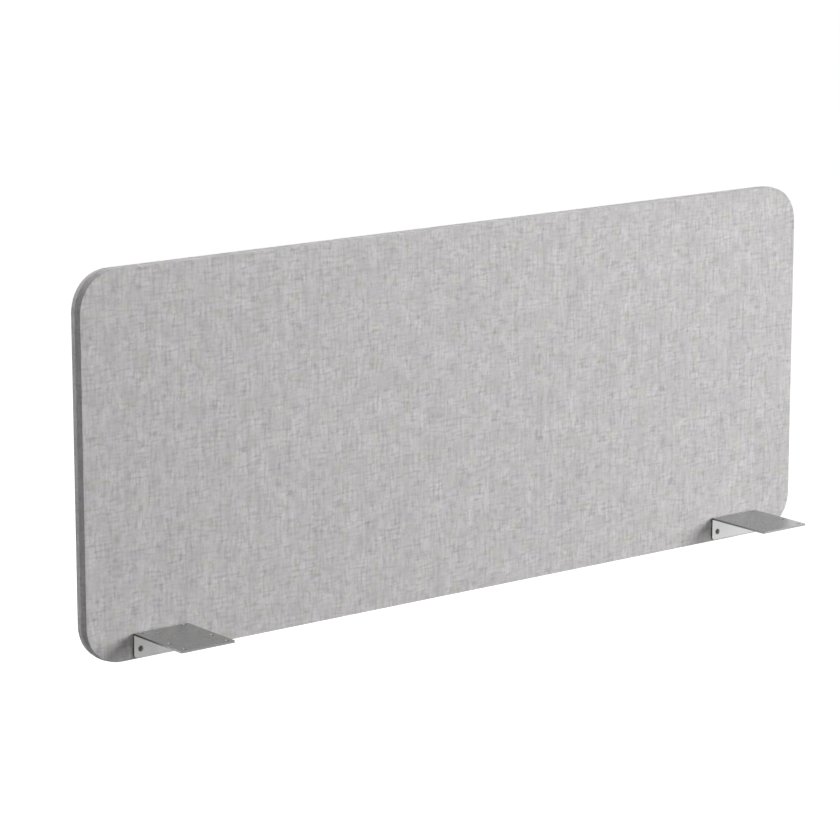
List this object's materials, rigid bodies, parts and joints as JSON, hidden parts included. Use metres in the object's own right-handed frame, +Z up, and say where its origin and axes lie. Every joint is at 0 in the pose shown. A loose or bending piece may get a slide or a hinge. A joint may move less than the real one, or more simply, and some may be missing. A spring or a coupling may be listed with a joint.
{
  "type": "acoustic divider screen",
  "caption": "Long fabric-covered acoustic screen with rounded corners that is fixed to the edge of a desk by two folded steel brackets.",
  "frame": {"origin": "middle of the screen's length, on the front face of the panel, level with the top of the two plates that the desk lies on", "axes": "+X along the screen to the right as its user sees it, +Y away from the user through the panel, +Z up"},
  "size_m": [1.4, 0.149, 0.58],
  "materials": {
    "cover_fabric": "matte",
    "foam": "matte",
    "absorber": "matte",
    "frame_wood": "matte",
    "dowel_wood": "matte",
    "bead_plastic": "matte",
    "bracket_metal": "satin",
    "screw_steel": "satin",
    "insert_brass": "satin"
  },
  "bodies": {
    "root": {"front_cover": "cover_fabric", "rear_cover": "cover_fabric", "front_foam": "foam", "rear_foam": "foam", "seam_bead": "bead_plastic", "top_rail": "frame_wood", "bottom_rail": "frame_wood", "left_stile": "frame_wood", "centre_stile": "frame_wood", "right_stile": "frame_wood", "frame_dowels": "dowel_wood", "left_infill": "absorber", "right_infill": "absorber", "left_bracket": "bracket_metal", "right_bracket": "bracket_metal", "left_bracket_screws": "screw_steel", "right_bracket_screws": "screw_steel", "left_inserts": "insert_brass", "right_inserts": "insert_brass"}
  },
  "joints": []
}
